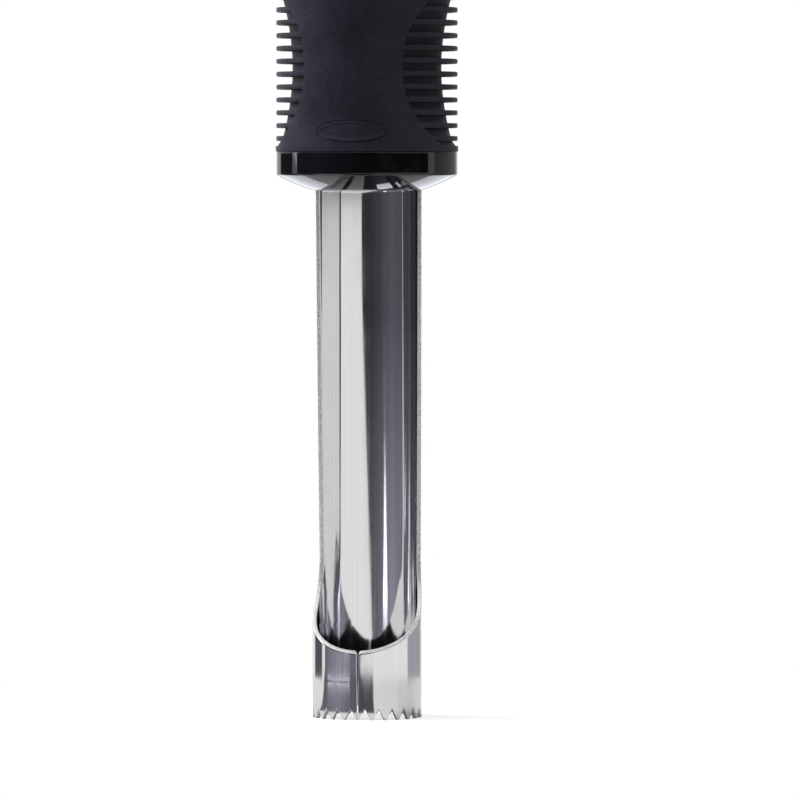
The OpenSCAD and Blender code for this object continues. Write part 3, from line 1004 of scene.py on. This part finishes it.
# %% The rule that trims a fin to the window and roots it in the floor
known = add(fins, "GeometryNodeInputNamedAttribute", {"Name": "fin_height"}, data_type="FLOAT")
term = {size: given.outputs[size] for size in fin_keys}
term["depth share"] = spot.outputs["X"]
term["breadth share"] = spot.outputs["Y"]
term["place"] = spot.outputs["Z"]
term["height"] = known.outputs["Attribute"]
term["one"] = 1.0
term["none"] = 0.0
fin_rule = [
    ("rise", "SUBTRACT", "height", "Window middle"),
    ("rise share", "DIVIDE", "rise", "Half height"),
    ("rise size", "ABSOLUTE", "rise share", "none"),
    ("bulge", "POWER", "rise size", "Power"),
    ("left over", "SUBTRACT", "one", "bulge"),
    ("open share", "MAXIMUM", "left over", "none"),
    ("root", "DIVIDE", "one", "Power"),
    ("narrowing", "POWER", "open share", "root"),
    ("breadth", "MULTIPLY", "narrowing", "Half breadth"),
    ("buried breadth", "ADD", "breadth", "Bury"),
    ("y", "MULTIPLY", "breadth share", "buried breadth"),
    ("y squared", "MULTIPLY", "y", "y"),
    ("tip radius", "SUBTRACT", "Grip radius", "Tip inset"),
    ("tip squared", "MULTIPLY", "tip radius", "tip radius"),
    ("tip room", "SUBTRACT", "tip squared", "y squared"),
    ("tip x", "SQRT", "tip room", "none"),
    ("hollow squared", "MULTIPLY", "Hollow radius", "Hollow radius"),
    ("rise squared", "MULTIPLY", "rise", "rise"),
    ("hollow room", "SUBTRACT", "hollow squared", "rise squared"),
    ("hollow reach", "SQRT", "hollow room", "none"),
    ("hollow middle", "ADD", "Grip radius", "Hollow radius"),
    ("arch", "SUBTRACT", "hollow middle", "hollow reach"),
    ("arch squared", "MULTIPLY", "arch", "arch"),
    ("floor room", "SUBTRACT", "arch squared", "y squared"),
    ("floor round", "SQRT", "floor room", "none"),
    ("floor x", "SUBTRACT", "floor round", "Depth"),
    ("fin depth", "SUBTRACT", "tip x", "floor x"),
    ("fin reach", "MULTIPLY", "fin depth", "depth share"),
    ("x", "ADD", "floor x", "fin reach"),
    ("z", "ADD", "place", "Base"),
]
for made, operation, first, second in fin_rule:
    term[made] = add(fins, "ShaderNodeMath", {0: term[first], 1: term[second]},
                     operation=operation)
moved = add(fins, "ShaderNodeCombineXYZ", {"X": term["x"], "Y": term["y"], "Z": term["z"]})
right_side = add(fins, "GeometryNodeSetPosition", {"Geometry": real, "Position": moved})
left_side = add(fins, "GeometryNodeTransform", {
    "Geometry": right_side, "Scale": (-1.0, 1.0, 1.0)})
left_side = add(fins, "GeometryNodeFlipFaces", {"Mesh": left_side})
both = add(fins, "GeometryNodeJoinGeometry", {"Geometry": right_side})
fins.links.new(left_side.outputs[0], both.inputs["Geometry"])
joined = add(fins, "GeometryNodeRealizeInstances", {"Geometry": both})
coated = add(fins, "GeometryNodeSetMaterial", {"Geometry": joined, "Material": elastomer})
add(fins, "NodeGroupOutput", {"Geometry": coated})
print("fin tree:", len(fins.nodes), "nodes")

# %% The fins of both windows
grip_fins = made_by(fins, fin_keys, {
    "Count": FIN_COUNT, "Power": WINDOW_POWER,
    **{size: length * MM for size, length in fin_lengths.items()}}, bar, "grip_fins")
smooth_piece(grip_fins, GRIP_CREASE)
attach(grip_fins, "root")
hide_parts("grip_sleeve")
print("fins:", len(grip_fins.data.polygons), "faces")

# %% [markdown]
# ## The hidden parts
# The core and its two cross pins stay as the CAD made them, inside the grip. They still get a
# finish of their own, so that the part looks right when it is taken apart: a glass-filled
# plastic with its mottled skin, and steel rod with the lines of centreless grinding round it.

# %% Finishes of the core and the pins
FLOW_SIZE = 3 * MM
core_plastic, tree, shader, place = finish_of("glass_filled_polypropylene")
flow = add(tree, "ShaderNodeTexNoise", {"Vector": place, "Scale": 1 / FLOW_SIZE, "Detail": 6.0})
mottle = add(tree, "ShaderNodeValToRGB", {"Fac": flow})
mottle.color_ramp.elements[0].color = linear("#333336")
mottle.color_ramp.elements[1].color = linear("#47474b")
pitted = add(tree, "ShaderNodeBump", {"Height": flow, "Strength": 0.2, "Distance": 0.1 * MM})
wire(tree, shader, {"Base Color": mottle, "Normal": pitted, "Roughness": 0.55})

GRIND_STEP = 0.2 * MM
ground_steel, tree, shader, place = finish_of("ground_steel_rod")
bands = add(tree, "ShaderNodeMapping", {
    "Vector": place, "Scale": (1.0, 1 / GRIND_STEP, 1.0)})
rings_noise = add(tree, "ShaderNodeTexNoise", {"Vector": bands, "Scale": 1.0, "Detail": 2.0})
grind = add(tree, "ShaderNodeMapRange", {"Value": rings_noise, "To Min": 0.2, "To Max": 0.4})
wire(tree, shader, {"Base Color": linear("#c4c4c6"), "Roughness": grind, "Metallic": 1.0})

for node, material in (("handle_core", core_plastic), ("tang_pins", ground_steel)):
    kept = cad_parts[node]
    kept.data.materials.clear()
    kept.data.materials.append(material)
    print(node, "has", kept.data.materials[0].name)

# %% [markdown]
# ## Camera
# The view is a product photograph's: a long lens at the height of the ferrule, turned a little
# so that the open trough faces left. The lens is tilted down so that the grip runs out of the
# top of the picture and the teeth stand near its foot.

# %% The camera
PICTURE = 800
FOCAL_PX = 7956.5
SENSOR_MM = 36.0
EYE_MM = 100.0
AWAY_MM = 1500.0
TURN = math.radians(10.2)
AXIS_PX = 367.0
HORIZON_PX = 187.0
lens = bpy.data.cameras.new("camera")
lens.sensor_width = SENSOR_MM
lens.lens = SENSOR_MM * FOCAL_PX / PICTURE
lens.clip_start = 0.01
lens.clip_end = 50.0
camera = placed("camera", lens)
camera.location = (AWAY_MM * math.sin(TURN) * MM, -AWAY_MM * math.cos(TURN) * MM, EYE_MM * MM)
pan = math.atan((PICTURE / 2 - AXIS_PX) / FOCAL_PX)
tilt = math.atan((PICTURE / 2 - HORIZON_PX) / FOCAL_PX)
camera.rotation_euler = (math.pi / 2 - tilt, 0.0, TURN - pan)
scene = bpy.context.scene
bpy.context.scene.camera = camera
print("lens %.1f mm, %.0f mm away" % (lens.lens, AWAY_MM))

# %% [markdown]
# ## Studio
# Polished steel shows the room more than itself. The room is white to the camera and a little
# dimmer to mirrors, and its soft light falls mostly from above. Dark boards stand round the part,
# as a photographer sets black boards beside a shiny thing to give it contrast; only reflections
# see them. The floor is a pale sheet that the lamps and the room light. It keeps the soft shadow
# at the foot, and towards its edge it turns to the white of the room.

# %% The white room
ROOM_TOP = 0.5
ROOM_FOOT = 0.12
ROOM_MIRRORED = 0.85
scene.view_settings.view_transform = "Standard"
room = bpy.data.worlds.new("white_room")
room.use_nodes = True
scene.world = room
tree = room.node_tree
ray = add(tree, "ShaderNodeLightPath")
way = add(tree, "ShaderNodeTexCoord").outputs["Generated"]
rise = add(tree, "ShaderNodeSeparateXYZ", {"Vector": way}).outputs["Z"]
soft = add(tree, "ShaderNodeMapRange", {
    "Value": rise, "From Min": -0.3, "From Max": 0.5, "To Min": ROOM_FOOT, "To Max": ROOM_TOP})
to_mirrors = add(tree, "ShaderNodeMapRange", {
    "Value": ray.outputs["Is Glossy Ray"], "To Min": soft, "To Max": ROOM_MIRRORED})
level = add(tree, "ShaderNodeMapRange", {
    "Value": ray.outputs["Is Camera Ray"], "To Min": to_mirrors, "To Max": 1.0})
wire(tree, tree.nodes["Background"], {"Color": linear("#ffffff"), "Strength": level})
print("soft light from %.2f below to %.2f above" % (ROOM_FOOT, ROOM_TOP))

# %% [markdown]
# ## Boards
# A board that is one flat black looks cut out in a mirror, so the dark ones shade off: lighter
# towards the floor, and lightest to the left of the camera. The right edge of the front board
# slants, which gives the trough's line between light and dark its slight lean, and a small lit
# flame puts a bright streak low in the trough. The gloss ferrule mirrors only a small part of
# what it sees, so lit strips on the left and a low dark strip on the right are there for its
# band. Its underside mirrors the blade, and in that image the floor before the foot. Two cards
# lie there, a dark one and a lit one, which is tilted so that the ring sees it edge-on.

# %% The finish of the dark boards
FACING = TURN - math.pi / 2
SHADE_FROM = -100
SHADE_TO = 20
SHADES = {0.0: 0.2, 0.33: 0.42, 0.58: 0.24, 0.77: 0.135, 1.0: 0.135}


def board_finish(name):
    """A new material with no shader yet, and its tree."""
    material = bpy.data.materials.new(name)
    material.use_nodes = True
    tree = material.node_tree
    tree.nodes.remove(tree.nodes["Principled BSDF"])
    return material, tree


dark_board, tree = board_finish("dark_board")
place = add(tree, "ShaderNodeTexCoord").outputs["Object"]
spot = add(tree, "ShaderNodeSeparateXYZ", {"Vector": place})
around_us = add(tree, "ShaderNodeMath", {
    0: spot.outputs["Y"], 1: spot.outputs["X"]}, operation="ARCTAN2")
share = add(tree, "ShaderNodeMapRange", {
    "Value": around_us, "From Min": FACING + math.radians(SHADE_FROM),
    "From Max": FACING + math.radians(SHADE_TO)})
sideways = add(tree, "ShaderNodeValToRGB", {"Fac": share})
ramp = sideways.color_ramp.elements
for position in list(SHADES)[1:-1]:
    ramp.new(position)
for stop, lightness in zip(ramp, SHADES.values()):
    stop.color = (lightness, lightness, lightness, 1.0)
downward = add(tree, "ShaderNodeMapRange", {
    "Value": spot.outputs["Z"], "From Min": -0.03, "From Max": 0.06,
    "To Min": 0.84, "To Max": 0.275})
dim = add(tree, "ShaderNodeMath", {0: sideways, 1: downward}, operation="MULTIPLY")
glow = add(tree, "ShaderNodeEmission", {"Color": linear("#e7e6fb"), "Strength": dim})
wire(tree, tree.nodes["Material Output"], {"Surface": glow})
print("made", dark_board.name, "with", len(ramp), "shades")

# %% The finishes of the lit boards
def lit_board(name, strength):
    """A board that shines evenly."""
    material, tree = board_finish(name)
    glow = add(tree, "ShaderNodeEmission", {"Color": linear("#f4f6ff"), "Strength": strength})
    wire(tree, tree.nodes["Material Output"], {"Surface": glow})
    return material


bright_board = lit_board("bright_board", 2.2)
strip_board = lit_board("strip_board", 3.5)
grey_board = lit_board("grey_board", 0.4)
print("boards have", [m.name for m in bpy.data.materials if m.name.endswith("board")])

# %% The boards, in metres, and in degrees to the right of the camera
BOARD_AWAY = 1.0
BOARD_STEPS = 41
BOARD_LOW = -0.7
BOARD_HIGH = 1.1
SLANT_LOW = -0.1
SLANT_HIGH = 0.07
WIDE_LOW = 0.25
STRIP_LOW = 0.112
CARD_LIFT = 0.0004
front = (-100, -25.4)
front_top = (-100, 12.3)
front_wide = (-100, 84)
right = (12.3, 84)
side = (-143, -110)
back = (95, 155)
left = (-109, -100.5)
behind = (158, 202)
card = (-88, -35)


def board(name, material, low, lower, high, upper, near=BOARD_AWAY, far=BOARD_AWAY):
    """A curved board: at its lower, near edge and its upper, far one, two angles from the camera."""
    points = []
    for z, ends, away in ((low, lower, near), (high, upper, far)):
        turns = np.radians(np.linspace(*ends, BOARD_STEPS)) + FACING
        points += [(away * math.cos(t), away * math.sin(t), z) for t in turns]
    mesh = bpy.data.meshes.new(name)
    mesh.from_pydata(points, [], strip(range(BOARD_STEPS), range(BOARD_STEPS, 2 * BOARD_STEPS)))
    mesh.materials.append(material)
    item = placed(name, mesh)
    item.visible_camera = False
    item.visible_diffuse = False
    item.visible_shadow = False


board("front_low", dark_board, BOARD_LOW, front, SLANT_LOW, front)
board("front_slant", dark_board, SLANT_LOW, front, SLANT_HIGH, front_top)
board("front_upper", dark_board, SLANT_HIGH, front_top, WIDE_LOW, front_top)
board("front_high", dark_board, WIDE_LOW, front_wide, 0.6, front_wide)
board("right_strip", dark_board, 0.098, right, 0.13, right)
board("side_dark", dark_board, BOARD_LOW, side, 0.125, side)
board("back_grey", grey_board, BOARD_LOW, back, BOARD_HIGH, back)
board("left_notch", strip_board, 0.1062, (-101.2, -100.5), STRIP_LOW, left)
board("left_strip", strip_board, STRIP_LOW, left, 0.5, left)
board("low_panel", bright_board, -0.9, behind, SLANT_LOW, behind)
board("flame", bright_board, -0.03, (-49, -37), 0.016, (-42.2, -41.8), 0.9, 0.9)
board("dark_card", dark_board, CARD_LIFT, front_top, CARD_LIFT, front_top, 0.025, 0.14)
board("lit_card", strip_board, 0.0034, card, 0.0006, card, 0.07, 0.115)
print("boards stand %.1f m away" % BOARD_AWAY)

# %% The floor
FLOOR_R = 0.13
FLOOR_SIDES = 96
FLOOR_GLOW = 0.6
FADE_FROM = 0.045
FADE_TO = 0.97 * FLOOR_R
floor_paper, tree, shader, place = finish_of("pale_paper")
seen = add(tree, "ShaderNodeLightPath").outputs["Is Camera Ray"]
own = add(tree, "ShaderNodeMapRange", {"Value": seen, "To Min": 0.0, "To Max": FLOOR_GLOW})
wire(tree, shader, {
    "Base Color": linear("#bcbcbc"), "Roughness": 0.9, "Specular IOR Level": 0.0,
    "Emission Color": linear("#ffffff"), "Emission Strength": own})
far = add(tree, "ShaderNodeVectorMath", {0: place}, operation="LENGTH")
fade = add(tree, "ShaderNodeMapRange", {
    "Value": far.outputs["Value"], "From Min": FADE_FROM, "From Max": FADE_TO},
    interpolation_type="SMOOTHSTEP")
turned = add(tree, "ShaderNodeMath", {0: fade, 1: seen}, operation="MULTIPLY")
white = add(tree, "ShaderNodeEmission", {"Color": linear("#ffffff"), "Strength": 1.0})
paper = add(tree, "ShaderNodeMixShader", {0: turned, 1: shader, 2: white})
wire(tree, tree.nodes["Material Output"], {"Surface": paper})
sheet_mesh = bpy.data.meshes.new("floor")
disc = bmesh.new()
bmesh.ops.create_circle(disc, cap_ends=True, segments=FLOOR_SIDES, radius=FLOOR_R)
disc.to_mesh(sheet_mesh)
disc.free()
sheet_mesh.materials.append(floor_paper)
floor = placed("floor", sheet_mesh)
print("floor %.2f m across" % (2 * FLOOR_R))

# %% The lamps
AIM = (0, 0, 0.1)


def softbox(name, watts, size, place):
    """A square soft lamp, turned to the part. Reflections see the room instead of it."""
    lamp = bpy.data.lights.new(name, "AREA")
    lamp.shape = "SQUARE"
    lamp.size = size
    lamp.energy = watts
    item = placed(name, lamp)
    item.location = place
    item.rotation_euler = (Vector(AIM) - Vector(place)).to_track_quat("-Z", "Y").to_euler()
    item.visible_glossy = False


softbox("key_left", 28.0, 0.8, (-1.0, -0.05, 0.5))
softbox("fill_right", 1.5, 0.7, (0.9, -0.6, 0.5))
softbox("top", 2.5, 0.5, (-0.1, -0.4, 1.1))
